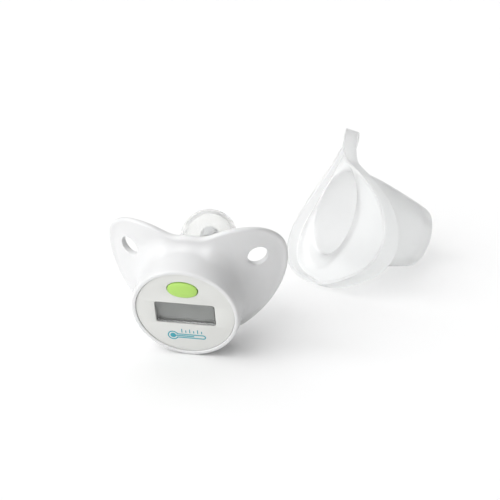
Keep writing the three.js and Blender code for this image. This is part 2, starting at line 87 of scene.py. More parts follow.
# ------------------------------------------------------------------ camera and view transform
AZ, EL, DIST = 11.872 * RAD, 21.654 * RAD, 0.47161
target = Vector((-0.007432, -0.001537, 0.0147)) + (T_ORIGIN - Vector((-15.362, -43.489, 13.046))) / 1000
back = Vector((math.sin(AZ) * math.cos(EL), -math.cos(AZ) * math.cos(EL), math.sin(EL)))
cam_data = bpy.data.cameras.new("camera")
cam_data.lens, cam_data.sensor_width, cam_data.sensor_fit = 125.0, 36.0, "HORIZONTAL"
cam_data.clip_start, cam_data.clip_end = 0.01, 50.0
cam = bpy.data.objects.new("camera", cam_data)
scene.collection.objects.link(cam)
cam.location = target + back * DIST
cam.rotation_euler = (-back).to_track_quat("-Z", "Y").to_euler()
scene.camera = cam
scene.view_settings.view_transform = "Standard"
scene.view_settings.look = "None"
scene.view_settings.exposure = 0.0
scene.view_settings.gamma = 1.0


# ------------------------------------------------------------------ node material helpers
def new_mat(name):
    m = bpy.data.materials.new(name)
    m.use_nodes = True
    nt = m.node_tree
    nt.nodes.clear()
    out = nt.nodes.new("ShaderNodeOutputMaterial")
    b = nt.nodes.new("ShaderNodeBsdfPrincipled")
    nt.links.new(b.outputs["BSDF"], out.inputs["Surface"])
    return m, nt, b, out


def object_coords(nt, scale=(1000, 1000, 1000)):
    tc = nt.nodes.new("ShaderNodeTexCoord")
    mp = nt.nodes.new("ShaderNodeMapping")
    mp.inputs["Scale"].default_value = scale
    nt.links.new(tc.outputs["Object"], mp.inputs["Vector"])
    return mp.outputs["Vector"]


def noise(nt, vec, scale, detail=4.0, rough=0.55, distortion=0.0):
    n = nt.nodes.new("ShaderNodeTexNoise")
    n.inputs["Scale"].default_value = scale
    n.inputs["Detail"].default_value = detail
    n.inputs["Roughness"].default_value = rough
    n.inputs["Distortion"].default_value = distortion
    nt.links.new(vec, n.inputs["Vector"])
    return n.outputs["Fac"]


def ramp(nt, fac, stops):
    r = nt.nodes.new("ShaderNodeValToRGB")
    els = r.color_ramp.elements
    while len(els) < len(stops):
        els.new(0.5)
    for e, (p, c) in zip(els, stops):
        e.position = p
        e.color = (*c, 1) if len(c) == 3 else c
    nt.links.new(fac, r.inputs["Fac"])
    return r.outputs["Color"]


def maprange(nt, fac, a, b, c, d):
    n = nt.nodes.new("ShaderNodeMapRange")
    for i, v in zip(("From Min", "From Max", "To Min", "To Max"), (a, b, c, d)):
        n.inputs[i].default_value = v
    nt.links.new(fac, n.inputs["Value"])
    return n.outputs["Result"]


def bump(nt, height, strength, distance, normal=None):
    n = nt.nodes.new("ShaderNodeBump")
    n.inputs["Strength"].default_value = strength
    n.inputs["Distance"].default_value = distance
    nt.links.new(height, n.inputs["Height"])
    if normal is not None:
        nt.links.new(normal, n.inputs["Normal"])
    return n.outputs["Normal"]


def lin(c):
    """sRGB 0-255 to linear."""
    return tuple((v / 255 / 12.92) if v / 255 <= 0.04045 else ((v / 255 + 0.055) / 1.055) ** 2.4 for v in c)


def moulded(name, rgb, rough=0.3, spread=0.05, vary=0.03, grain=0.02, grain_scale=9.0, flow=0.25, metallic=0.0, coat=0.0, specular=0.5, subsurface=0.0):
    """Moulded plastic: faint colour drift, cloudy roughness from handling, and a very fine spark-eroded grain."""
    m, nt, b, _ = new_mat(name)
    v = object_coords(nt)
    big = noise(nt, v, 0.16, 3.0, 0.5)
    lo_c = tuple(max(c * (1 - vary), 0) for c in rgb)
    hi_c = tuple(min(c * (1 + vary * 0.6), 1) for c in rgb)
    nt.links.new(ramp(nt, big, [(0.3, lo_c), (0.7, hi_c)]), b.inputs["Base Color"])
    cloud = noise(nt, v, flow, 5.0, 0.6)
    nt.links.new(maprange(nt, cloud, 0.3, 0.7, rough - spread, rough + spread), b.inputs["Roughness"])
    fine = noise(nt, v, grain_scale, 2.0, 0.5)
    nt.links.new(bump(nt, fine, 0.5, grain / 1000), b.inputs["Normal"])
    b.inputs["Metallic"].default_value = metallic
    b.inputs["Specular IOR Level"].default_value = specular
    b.inputs["Coat Weight"].default_value = coat
    b.inputs["Coat Roughness"].default_value = 0.12
    if subsurface:
        b.inputs["Subsurface Weight"].default_value = subsurface
        b.inputs["Subsurface Radius"].default_value = (1.0, 0.9, 0.8)
        b.inputs["Subsurface Scale"].default_value = 0.0012
    return m


def turned_metal(name, rgb, rough=0.25, ring_scale=6.0):
    """Bright metal with fine directional tooling marks and small patches of dullness."""
    m, nt, b, _ = new_mat(name)
    v = object_coords(nt, (1000, 120, 1000))
    marks = noise(nt, v, ring_scale, 6.0, 0.7)
    patch = noise(nt, object_coords(nt), 0.8, 4.0, 0.6)
    nt.links.new(ramp(nt, patch, [(0.3, tuple(c * 0.88 for c in rgb)), (0.72, rgb)]), b.inputs["Base Color"])
    nt.links.new(maprange(nt, marks, 0.3, 0.7, rough - 0.07, rough + 0.12), b.inputs["Roughness"])
    nt.links.new(bump(nt, marks, 0.35, 0.00001), b.inputs["Normal"])
    b.inputs["Metallic"].default_value = 1.0
    return m


def clear_plastic(name, rgb, rough, transmission, ior, spread=0.06, shadow_pass=0.7, subsurface=0.0, grain=0.004, edge=1.0, edge_from=0.25):
    """Clear or frosted moulding: refracting body with cloudy roughness; light passes its shadow softly."""
    m, nt, b, out = new_mat(name)
    v = object_coords(nt)
    cloud = noise(nt, v, 0.22, 5.0, 0.6, 0.4)
    body = ramp(nt, cloud, [(0.3, tuple(c * 0.975 for c in rgb)), (0.7, rgb)])
    if edge < 1:                                             # a longer path through the wall at glancing angles looks darker
        lw = nt.nodes.new("ShaderNodeLayerWeight")
        lw.inputs["Blend"].default_value = 0.35
        shade = ramp(nt, lw.outputs["Facing"], [(edge_from, (1, 1, 1)), (0.97, (edge, edge, edge))])
        mul = nt.nodes.new("ShaderNodeMix")
        mul.data_type, mul.blend_type = "RGBA", "MULTIPLY"
        mul.inputs["Factor"].default_value = 1.0
        nt.links.new(body, mul.inputs[6])
        nt.links.new(shade, mul.inputs[7])
        body = mul.outputs[2]
    nt.links.new(body, b.inputs["Base Color"])
    nt.links.new(maprange(nt, cloud, 0.3, 0.7, max(rough - spread, 0.01), rough + spread), b.inputs["Roughness"])
    nt.links.new(bump(nt, noise(nt, v, 1.2, 3.0, 0.5), 0.4, grain / 1000), b.inputs["Normal"])
    b.inputs["Transmission Weight"].default_value = transmission
    b.inputs["IOR"].default_value = ior
    if subsurface:
        b.inputs["Subsurface Weight"].default_value = subsurface
        b.inputs["Subsurface Radius"].default_value = (1.0, 1.0, 1.0)
        b.inputs["Subsurface Scale"].default_value = 0.001
    lp = nt.nodes.new("ShaderNodeLightPath")
    tr = nt.nodes.new("ShaderNodeBsdfTransparent")
    mixer = nt.nodes.new("ShaderNodeMixShader")
    k = nt.nodes.new("ShaderNodeMath")
    k.operation = "MULTIPLY"
    k.inputs[1].default_value = shadow_pass
    nt.links.new(lp.outputs["Is Shadow Ray"], k.inputs[0])
    nt.links.new(k.outputs[0], mixer.inputs["Fac"])
    nt.links.new(b.outputs["BSDF"], mixer.inputs[1])
    nt.links.new(tr.outputs["BSDF"], mixer.inputs[2])
    nt.links.new(mixer.outputs["Shader"], out.inputs["Surface"])
    return m


def board_material(name):
    """Solder mask over glass weave, with pale tracks showing faintly through."""
    m, nt, b, _ = new_mat(name)
    v = object_coords(nt)
    w = nt.nodes.new("ShaderNodeTexBrick")
    w.inputs["Scale"].default_value = 1.4
    w.inputs["Mortar Size"].default_value = 0.06
    w.inputs["Color1"].default_value = (0.02, 0.16, 0.06, 1)
    w.inputs["Color2"].default_value = (0.022, 0.18, 0.07, 1)
    w.inputs["Mortar"].default_value = (0.05, 0.27, 0.12, 1)
    nt.links.new(v, w.inputs["Vector"])
    nt.links.new(w.outputs["Color"], b.inputs["Base Color"])
    nt.links.new(maprange(nt, noise(nt, v, 1.5), 0.3, 0.7, 0.3, 0.45), b.inputs["Roughness"])
    nt.links.new(bump(nt, w.outputs["Fac"], 0.3, 0.00003), b.inputs["Normal"])
    return m


MATS = {
    "housing_white": moulded("mat_housing_white", (0.69, 0.692, 0.695), rough=0.34, spread=0.05, vary=0.012, grain=0.010, grain_scale=7.0, subsurface=0.08),
    "face_grey": moulded("mat_face_grey", (0.66, 0.663, 0.643), rough=0.5, spread=0.05, vary=0.02, grain=0.02, grain_scale=10.0),
    "lcd_grey": moulded("mat_lcd_grey", (0.295, 0.295, 0.288), rough=0.3, spread=0.04, vary=0.03, grain=0.002, grain_scale=3.0, coat=0.6),
    "holder_white": moulded("mat_holder_white", (0.74, 0.74, 0.70), rough=0.55, vary=0.03),
    "conductive_rubber": moulded("mat_conductive_rubber", (0.03, 0.03, 0.033), rough=0.75, vary=0.25, grain=0.03),
    "board_green": board_material("mat_board_green"),
    "component_black": moulded("mat_component_black", (0.018, 0.018, 0.02), rough=0.42, vary=0.3, grain=0.02),
    "component_tan": moulded("mat_component_tan", (0.43, 0.29, 0.15), rough=0.5, vary=0.15, grain=0.015),
    "button_green": moulded("mat_button_green", (0.40, 0.645, 0.133), rough=0.5, spread=0.06, vary=0.04, grain=0.012, grain_scale=8.0),
    "steel": turned_metal("mat_steel", (0.62, 0.63, 0.65)),
    "contact_metal": turned_metal("mat_contact_metal", (0.66, 0.49, 0.18), rough=0.3),
    "stem_plastic": moulded("mat_stem_plastic", (0.42, 0.43, 0.42), rough=0.45, vary=0.04),
    "seal_rubber": moulded("mat_seal_rubber", (0.05, 0.05, 0.055), rough=0.7, vary=0.2, grain=0.03),
    "wire_red": moulded("mat_wire_red", (0.45, 0.02, 0.02), rough=0.4, vary=0.08),
    "wire_black": moulded("mat_wire_black", (0.02, 0.02, 0.024), rough=0.4, vary=0.2),
    "lens_clear": clear_plastic("mat_lens_clear", (0.97, 0.985, 0.98), 0.03, 1.0, 1.49, spread=0.015, grain=0.001),
    "teat_silicone": clear_plastic("mat_teat_silicone", (0.985, 0.988, 0.98), 0.09, 0.86, 1.3, spread=0.03, grain=0.003, edge=0.55, edge_from=0.72),
    "cap_clear": clear_plastic("mat_cap_clear", (0.93, 0.935, 0.935), 0.34, 0.74, 1.36, spread=0.05, edge=0.86, edge_from=0.5, shadow_pass=0.82),
    "print_teal": moulded("mat_print_teal", (0.045, 0.33, 0.40), rough=0.55, vary=0.06, grain=0.006),
}


# ------------------------------------------------------------------ mesh helpers
def make_object(name, verts, faces, matrix=T_MAT, sharp=38.0):
    me = bpy.data.meshes.new(name)
    me.from_pydata([tuple((matrix @ Vector(v)) / 1000) for v in verts], [], faces)
    me.update()
    o = bpy.data.objects.new(name, me)
    scene.collection.objects.link(o)
    tidy(o, sharp)
    return o


def tidy(o, sharp=38.0, merge=1e-7):
    """Weld, point the faces outwards, smooth-shade, and mark the hard edges."""
    bm = bmesh.new()
    bm.from_mesh(o.data)
    bmesh.ops.remove_doubles(bm, verts=bm.verts, dist=merge)
    bmesh.ops.dissolve_degenerate(bm, edges=bm.edges, dist=merge)
    bmesh.ops.recalc_face_normals(bm, faces=bm.faces)
    if bm.calc_volume(signed=True) < 0:
        bmesh.ops.reverse_faces(bm, faces=bm.faces)
    for f in bm.faces:
        f.smooth = True
    for e in bm.edges:
        e.smooth = not (len(e.link_faces) == 2 and e.calc_face_angle(0) > sharp * RAD)
    bm.to_mesh(o.data)
    bm.free()
    o.data.update()


def rings_to_faces(rings, loop=False):
    verts, start, faces = [], [], []
    for r in rings:
        start.append(len(verts))
        verts.extend(r)
    count = len(rings) if loop else len(rings) - 1
    for j in range(count):
        k = (j + 1) % len(rings)
        a, b = rings[j], rings[k]
        n = max(len(a), len(b))
        for i in range(n):
            i2 = (i + 1) % n
            if len(a) > 1 and len(b) > 1:
                faces.append((start[j] + i, start[j] + i2, start[k] + i2, start[k] + i))
            elif len(a) == 1:
                faces.append((start[j], start[k] + i2, start[k] + i))
            else:
                faces.append((start[j] + i, start[j] + i2, start[k]))
    return verts, faces


def soften(points, radius, n=4, closed=False):
    """Round the corners of a polyline; radius is one number or one per point (0 keeps a corner hard)."""
    m = len(points)
    rs = radius if isinstance(radius, (list, tuple)) else [radius] * m
    out = []
    for i, c in enumerate(points):
        c = Vector(c)
        if (not closed and i in (0, m - 1)) or rs[i] <= 0:
            out.append(tuple(c))
            continue
        a, b = Vector(points[i - 1]), Vector(points[(i + 1) % m])
        la, lb = (a - c).length, (b - c).length
        if la < 1e-6 or lb < 1e-6:
            out.append(tuple(c))
            continue
        d = min(rs[i], 0.47 * la, 0.47 * lb)
        p, q = c + (a - c) * d / la, c + (b - c) * d / lb
        for k in range(n + 1):
            t = k / n
            out.append(tuple(p * (1 - t) ** 2 + c * 2 * t * (1 - t) + q * t * t))
    return out


def densify(points, step):
    out = [points[0]]
    for a, b in zip(points, points[1:]):
        a2, b2 = Vector(a), Vector(b)
        k = max(1, int((b2 - a2).length / step))
        for i in range(1, k + 1):
            out.append(tuple(a2.lerp(b2, i / k)))
    return out


def spline(points, n_per=6):
    """Centripetal-free Catmull-Rom through the points, for smooth lathe profiles."""
    p = [Vector(q) for q in points]
    p = [p[0] * 2 - p[1]] + p + [p[-1] * 2 - p[-2]]
    out = []
    for i in range(1, len(p) - 2):
        for k in range(n_per):
            t = k / n_per
            out.append(tuple(0.5 * (2 * p[i] + (p[i + 1] - p[i - 1]) * t + (2 * p[i - 1] - 5 * p[i] + 4 * p[i + 1] - p[i + 2]) * t * t
                                    + (3 * p[i] - p[i - 1] - 3 * p[i + 1] + p[i + 2]) * t ** 3)))
    out.append(tuple(p[-2]))
    return out


def lathe(name, profile, seg=96, x=0.0, z=0.0, matrix=T_MAT, closed=False, sharp=38.0):
    """profile: [radius, depth]. Open profiles start and end on the axis; closed ones are a loop."""
    cs = [(math.cos(2 * math.pi * i / seg), math.sin(2 * math.pi * i / seg)) for i in range(seg)]
    rings = []
    for r, y in profile:
        rings.append([(x, y, z)] if r < 1e-6 else [(x + r * c, y, z + r * s) for c, s in cs])
    v, f = rings_to_faces(rings, loop=closed)
    return make_object(name, v, f, matrix, sharp)


def outline_radius(half, phi):
    full = half + half[1:-1][::-1]
    n = len(full)
    u = ((phi / RAD + 90) / 15) % 24
    i = int(u)
    t = u - i
    p0, p1, p2, p3 = (full[(i + k) % n] for k in (-1, 0, 1, 2))
    return 0.5 * (2 * p1 + (p2 - p0) * t + (2 * p0 - 5 * p1 + 4 * p2 - p3) * t * t + (3 * p1 - p0 - 3 * p2 + p3) * t ** 3)


def smooth_outline(half, phi, blur=6.0):
    """The CAD outline with its small ripples averaged out over a few degrees."""
    ks = [-2, -1, 0, 1, 2]
    ws = [1, 3, 4, 3, 1]
    return sum(w * outline_radius(half, phi + k * blur / 2 * RAD) for k, w in zip(ks, ws)) / sum(ws)


def sweep_y(x):
    return WING_Y + WING_SWEEP_R - math.sqrt(WING_SWEEP_R ** 2 - x * x)


def boolean(o, tool, operation="DIFFERENCE"):
    m = o.modifiers.new("cut", "BOOLEAN")
    m.operation, m.object, m.solver = operation, tool, "EXACT"
    dg = bpy.context.evaluated_depsgraph_get()
    me = bpy.data.meshes.new_from_object(o.evaluated_get(dg))
    o.modifiers.clear()
    old = o.data
    o.data = me
    bpy.data.meshes.remove(old)
    bpy.data.objects.remove(tool)


def finish_piece(o, body, mat, slot=None, *replaced):
    o.data.materials.clear()
    o.data.materials.append(MATS[mat])
    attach(o, body)
    if replaced:
        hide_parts(*replaced)
    return o


# ------------------------------------------------------------------ shield housing
def build_housing():
    n = 256
    cols = []
    for i in range(n):
        phi = 2 * math.pi * i / n
        c, s = math.cos(phi), math.sin(phi)
        rb = 13.6
        ro = max(smooth_outline(SHIELD_OUTLINE, phi, 5.0), rb + 0.02)
        free = ro - rb
        e = 1.1
        room = free - e - 0.08                                   # the blend fades smoothly where the shield is narrow
        f = (room ** -5 + WING_FILLET ** -5) ** -0.2

        def surf(rho):
            return sweep_y(rho * c)
        pts = []
        # front rim, from the face recess outwards
        rim = soften([(12.72, 1.0), (12.72, 0.0), (13.75, 0.0), (14.0, 1.4)], [0, 0.28, 0.75, 0], 6)
        pts += rim
        y_top = surf(rb) - f                                     # where the fillet leaves the barrel
        y_end = max(y_top, 2.2)
        for t in (0.12, 0.25, 0.4, 0.55, 0.7, 0.85):
            y = 1.4 + (y_end - 1.4) * t
            pts.append((np.interp(y, [1.4, 5, 10, 15], [14.0, 13.9, 13.62, 13.35]), y))
        # fillet: quarter round from the barrel wall into the swept shield
        r0 = float(np.interp(y_end, [1.4, 5, 10, 15], [14.0, 13.9, 13.62, 13.35]))
        r_edge = ro - e
        r1 = min(rb + f, r_edge)
        r1 = max(r1, rb)
        for k in range(11):
            a = k / 10 * math.pi / 2
            rho = r0 + (max(r1, rb + 0.01) - r0) * (1 - math.cos(a))
            lift = (surf(rb) - y_end) * (1 - math.sin(a))
            base = surf(rho) if rho > rb else surf(rb)
            pts.append((rho, base - lift))
        for t in (0.2, 0.4, 0.6, 0.8, 1.0):
            rho = pts[-1][0] if r_edge <= r1 else r1 + (r_edge - r1) * t
            if r_edge > r1:
                pts.append((rho, surf(rho)))
            else:
                q = pts[-1]
                pts.append((q[0], q[1] + 0.001))
        yf, yb = pts[-1][1], surf(r_edge) + WING_T
        cy, hh = (yf + yb) / 2, (yb - yf) / 2
        rr = pts[-1][0]
        for k in range(1, 12):
            a = -math.pi / 2 + k / 12 * math.pi
            pts.append((rr + (ro - rr) * max(math.cos(a), 0) ** 0.9, cy + hh * math.sin(a)))
        pts.append((rr, yb))
        # back of the shield, in to the boss; a small fillet where they meet
        boss = [(13.32, max(surf(13.3) + WING_T, 0)), (13.28, 14.2), (12.6, BARREL_BACK_Y), (11.6, BARREL_BACK_Y), (11.6, 14.4)]
        rbk = 13.32
        for t in (0.2, 0.4, 0.6, 0.8):
            rho = rr + (rbk + 0.7 - rr) * t if rr > rbk + 0.7 else rr + (rbk - rr) * t
            pts.append((rho, surf(rho) + WING_T))
        yj = surf(rbk) + WING_T
        if rr > rbk + 0.7:
            pts += soften([(rbk + 0.9, surf(rbk + 0.9) + WING_T), (rbk, yj), (rbk, min(yj + 0.8, 14.9))], [0, 0.6, 0], 4)
        else:
            pts += soften([(rr + (rbk - rr) * 0.9, surf(rbk) + WING_T), (rbk, yj + 0.1), (rbk, min(yj + 0.8, 14.9))], [0, 0.2, 0], 4)
        ys = max(pts[-1][1], 14.0)
        pts += soften([(rbk - 0.02, max(ys, 14.35)), (rbk - 0.05, BARREL_BACK_Y), (11.6, BARREL_BACK_Y), (11.6, LEDGE_Y1)], [0, 0.55, 0.2, 0], 5)[0:]
        cols.append(pts)
    m = min(len(p) for p in cols)
    assert all(len(p) == m for p in cols), sorted(set(len(p) for p in cols))
    inner = [(11.6, LEDGE_Y1), (LEDGE_R, LEDGE_Y1), (LEDGE_R, LEDGE_Y0), (BORE_R, LEDGE_Y0), (BORE_R, FACE_RECESS_Y), (12.72, FACE_RECESS_Y)]
    rings = []
    for j in range(m):
        rings.append([(cols[i][j][0] * math.cos(2 * math.pi * i / n), cols[i][j][1], cols[i][j][0] * math.sin(2 * math.pi * i / n)) for i in range(n)])
    for r, y in inner[1:]:
        rings.append([(r * math.cos(2 * math.pi * i / n), y, r * math.sin(2 * math.pi * i / n)) for i in range(n)])
    v, f = rings_to_faces(rings, loop=True)
    o = make_object("housing", v, f, T_MAT)
    # breathing holes with softly rounded mouths, square to the swept shield
    for side in (1, -1):
        slope = math.asin(VENT_X / WING_SWEEP_R)
        h = WING_T / 2
        prof = [(0, -4), (VENT_R + 1.2, -4), (VENT_R + 1.2, -h - 0.75)]
        fr = 0.45
        prof += [(VENT_R + fr * (1 - math.cos(a)) , -h + fr - fr * math.sin(a)) for a in [k * math.pi / 2 / 8 for k in range(6, -1, -1)]]
        prof += [(VENT_R + fr * (1 - math.cos(a)), h - fr + fr * math.sin(a)) for a in [k * math.pi / 2 / 8 for k in range(0, 7)]]
        prof += [(VENT_R + 1.2, h + 0.75), (VENT_R + 1.2, 4), (0, 4)]
        local = Matrix.Translation((side * VENT_X, sweep_y(VENT_X) + h, VENT_Z)) @ Matrix.Rotation(side * slope, 4, "Z")
        tool = lathe("vent_tool", prof, 64, matrix=T_MAT @ local)
        boolean(o, tool)
    for k, a in enumerate(SCREW_ANGLES):
        boolean(o, lathe("pilot_tool", [(0, 11), (0.72, 11), (0.72, 13.4), (0, 13.4)], 24, SCREW_R * math.cos(a * RAD), SCREW_R * math.sin(a * RAD)))
    tidy(o, 40)
    return finish_piece(o, "thermometer", "housing_white", None, "shield_housing")


build_housing()


# ------------------------------------------------------------------ face plate
def rounded_rect(w, h, r, cx=0.0, cz=0.0, n=8):
    pts = []
    for ax, az, a0 in ((w / 2 - r, h / 2 - r, 0), (-w / 2 + r, h / 2 - r, 90), (-w / 2 + r, -h / 2 + r, 180), (w / 2 - r, -h / 2 + r, 270)):
        for k in range(n + 1):
            a = (a0 + 90 * k / n) * RAD
            pts.append((cx + ax + r * math.cos(a), cz + az + r * math.sin(a)))
    return pts


def plate_from_loops(name, loops, y0, y1, bevel, matrix=T_MAT, sharp=38.0):
    """A flat plate filled between closed loops (outer first), with small rounded edges on both faces."""
    cu = bpy.data.curves.new(name, "CURVE")
    cu.dimensions = "2D"
    cu.fill_mode = "BOTH"
    cu.extrude = (y1 - y0) / 2 - bevel
    cu.bevel_depth = bevel
    cu.offset = -bevel
    cu.bevel_resolution = 2
    for loop in loops:
        sp = cu.splines.new("POLY")
        sp.points.add(len(loop) - 1)
        for p, (x, z) in zip(sp.points, loop):
            p.co = (x, z, 0, 1)
        sp.use_cyclic_u = True
    co = bpy.data.objects.new(name + "_curve", cu)
    scene.collection.objects.link(co)
    dg = bpy.context.evaluated_depsgraph_get()
    dg.update()
    me = bpy.data.meshes.new_from_object(co.evaluated_get(dg))
    bpy.data.objects.remove(co)
    me.transform(Matrix.Scale(0.001, 4) @ matrix @ Matrix.Translation((0, (y0 + y1) / 2, 0)) @ Matrix.Rotation(math.pi / 2, 4, "X"))
    me.name = name
    o = bpy.data.objects.new(name, me)
    scene.collection.objects.link(o)
    tidy(o, sharp, 2e-7)
    return o


circle = [((PLATE_R + 0.23) * math.cos(a), (PLATE_R + 0.23) * math.sin(a)) for a in np.linspace(0, 2 * math.pi, 160, endpoint=False)]
oval = [((BUTTON_A + 0.25) * math.cos(a), BUTTON_Z + (BUTTON_B + 0.25) * math.sin(a)) for a in np.linspace(0, 2 * math.pi, 72, endpoint=False)]
plate = plate_from_loops("face_plate_disc", [circle, rounded_rect(WINDOW_W, WINDOW_H, 0.6, 0, WINDOW_Z), oval], PLATE_Y0, PLATE_Y1, 0.12)
finish_piece(plate, "thermometer", "face_grey", None, "face_plate")


# ------------------------------------------------------------------ display window with its raised pad
lens = plate_from_loops("lens_flange", [rounded_rect(18.4, 9.0, 0.5, 0, WINDOW_Z)], 1.85, 2.55, 0.05)
pad = plate_from_loops("pad_tool", [rounded_rect(WINDOW_W - 0.3, WINDOW_H - 0.3, 0.45, 0, WINDOW_Z)], 0.5, 2.2, 0.06)
boolean(lens, pad, "UNION")
tidy(lens, 30)
finish_piece(lens, "thermometer", "lens_clear", None, "display_lens")


# ------------------------------------------------------------------ push button
def superoval(a, b, y, n=96, p=2.25):
    out = []
    for i in range(n):
        t = 2 * math.pi * i / n
        c, s = math.cos(t), math.sin(t)
        out.append((a * math.copysign(abs(c) ** (2 / p), c), y, BUTTON_Z + b * math.copysign(abs(s) ** (2 / p), s)))
    return out


rings = [[(0, BUTTON_TOP_Y, BUTTON_Z)]]
for k in range(1, 17):                                   # pillow-shaped top
    t = k / 16
    q = math.sin(t * math.pi / 2)
    depth = 0.55 * (1 - math.sqrt(max(1 - (q * 0.985) ** 2.6, 0)))
    rings.append(superoval(BUTTON_A * q, BUTTON_B * q, BUTTON_TOP_Y + depth))
rings += [superoval(BUTTON_A, BUTTON_B, 0.45), superoval(BUTTON_A, BUTTON_B, 1.2), superoval(BUTTON_A, BUTTON_B, 1.84)]
rings += [superoval(4.7, 3.1, 1.86), superoval(4.8, 3.2, 1.95), superoval(4.8, 3.2, 2.4), superoval(4.7, 3.1, 2.5)]
rings += [superoval(1.15, 1.15, 2.5, p=2), superoval(1.1, 1.1, 2.6, p=2), superoval(1.1, 1.1, 3.85, p=2), superoval(0.95, 0.95, 4.0, p=2), [(0, 4.0, BUTTON_Z)]]
v, f = rings_to_faces(rings)
finish_piece(make_object("push_button", v, f, T_MAT, 50), "button", "button_green", None, "power_button")

# ------------------------------------------------------------------ back: cover, retainer, screws
cover = lathe("rear_cover_disc", [(0, 13.0)] + soften([(0, 13.0), (10.3, 13.0), (10.3, 13.9), (11.3, 13.9), (11.3, 14.8), (0, 14.8)],
                                                      [0.0, 0.15, 0.1, 0.12, 0.25, 0.0], 3)[1:], 128)
collar = lathe("collar_tool", soften([(0, 14.0), (4.7, 14.0), (4.7, 17.0), (5.0, 17.3), (4.7, 17.7), (0, 17.7)], [0, 0, 0.3, 0.2, 0.3, 0], 4), 96, 0, TEAT_Z)
boolean(cover, collar, "UNION")
boolean(cover, lathe("bore_tool", [(0, 12), (2.9, 12), (2.9, 19), (0, 19)], 64, 0, TEAT_Z))
for a in SCREW_ANGLES:
    boolean(cover, lathe("hole_tool", [(0, 12), (0.7, 12), (0.7, 16), (0, 16)], 24, SCREW_R * math.cos(a * RAD), SCREW_R * math.sin(a * RAD)))
tidy(cover, 40)
finish_piece(cover, "thermometer", "housing_white", None, "rear_cover")

ret = lathe("retainer_ring", soften([(0, 15.1), (10.4, 15.1), (10.4, 16.2), (10.0, 16.6), (0, 16.6)], [0, 0.12, 0.35, 0.35, 0], 4), 128)
boolean(ret, lathe("bore_tool", [(0, 14), (6.95, 14), (6.95, 15.9), (6.4, 15.9)] + [(6.4 + 0.35 * (1 - math.cos(k * math.pi / 12)), 16.25 + 0.35 * math.sin(k * math.pi / 12)) for k in range(0, 6)] + [(6.9, 17.5), (0, 17.5)], 96, 0, TEAT_Z))
for a in SCREW_ANGLES:
    boolean(ret, lathe("hole_tool", [(0, 14), (0.7, 14), (0.7, 18), (0, 18)], 24, SCREW_R * math.cos(a * RAD), SCREW_R * math.sin(a * RAD)))
tidy(ret, 40)
finish_piece(ret, "thermometer", "housing_white", None, "teat_retainer")

for k, a in enumerate(SCREW_ANGLES):
    x, z = SCREW_R * math.cos(a * RAD), SCREW_R * math.sin(a * RAD)
    prof = [(0, 12.05), (0.3, 12.05)]
    y = 12.4
    while y < 16.2:                                       # rolled thread
        prof += [(0.4, y), (0.5, y + 0.14), (0.4, y + 0.28)]
        y += 0.4
    prof += [(0.45, 16.84)] + soften([(0.5, 16.85), (1.05, 16.85), (1.05, 17.2), (0.75, 17.5), (0, 17.5)], [0, 0.06, 0.12, 0.25, 0], 4)
    s = lathe(f"screw_{k + 1}", prof, 40, x, z)
    cross = []
    for w, h in ((0.26, 1.25), (1.25, 0.26)):
        bm = bmesh.new()
        bmesh.ops.create_cube(bm, size=1)
        me = bpy.data.meshes.new("cross_tool")
        bm.to_mesh(me)
        bm.free()
        me.transform(Matrix.Scale(0.001, 4) @ T_MAT @ Matrix.Translation((x, 17.62, z)) @ Matrix.Rotation(0.35 + k, 4, "Y") @ Matrix.Diagonal((w, 0.8, h, 1)))
        t = bpy.data.objects.new("cross_tool", me)
        scene.collection.objects.link(t)
        boolean(s, t)
    tidy(s, 35)
    finish_piece(s, "thermometer", "steel", None, f"retainer_screw_{k + 1}")

# ------------------------------------------------------------------ teat, stem, metal tip
outer = soften([(6.65, 15.1), (6.65, 15.6), (6.1, 15.72), (6.02, 17.2)], [0, 0.12, 0.35, 0], 4)
bulb = spline([(6.02, 17.2), (6.0, 18.6), (6.15, 20.5), (6.68, 23), (7.3, 25.5), (7.58, 28), (7.48, 30.2), (6.88, 32.4), (5.75, 34.3), (4.15, 35.6), (2.2, 36.25), (0, TEAT_TIP_Y)], 6)
inner = spline([(0, 35.1), (2.0, 34.9), (3.7, 34.4), (5.0, 33.3), (5.9, 31.7), (6.35, 29.9), (6.45, 28), (6.15, 25.7), (5.6, 23.4), (5.25, 20.8), (5.28, 18.5), (5.3, 15.1)], 6)
prof = list(reversed(outer + bulb[1:])) + list(reversed(inner))
prof = [(0, TEAT_TIP_Y)] + prof[1:-1 - 0]
finish_piece(lathe("teat_soft", prof, 112, 0, TEAT_Z), "thermometer", "teat_silicone", None, "teat")
finish_piece(lathe("stem_tube", soften([(1.4, 12.0), (4.6, 12.0), (4.6, 12.7), (2.6, 12.7), (2.6, 27.0), (1.9, 27.0), (1.9, 29.0), (1.4, 29.0)],
                                        [0.1, 0.15, 0.15, 0.3, 0.15, 0.1, 0.15, 0.1], 3, closed=True), 72, 0, TEAT_Z, closed=True), "thermometer", "stem_plastic", None, "probe_stem")
tip = soften([(0, 31.75), (1.5, 31.62), (2.45, 31.1), (2.6, 30.3), (2.6, 27.3), (2.2, 27.3), (2.2, 30.4), (1.3, 31.05), (0, 31.15)], [0, 0.6, 0.6, 0.4, 0.1, 0.1, 0.4, 0.4, 0], 5)
finish_piece(lathe("probe_tip", tip, 72, 0, TEAT_Z), "thermometer", "steel", None, "sensor_tip")


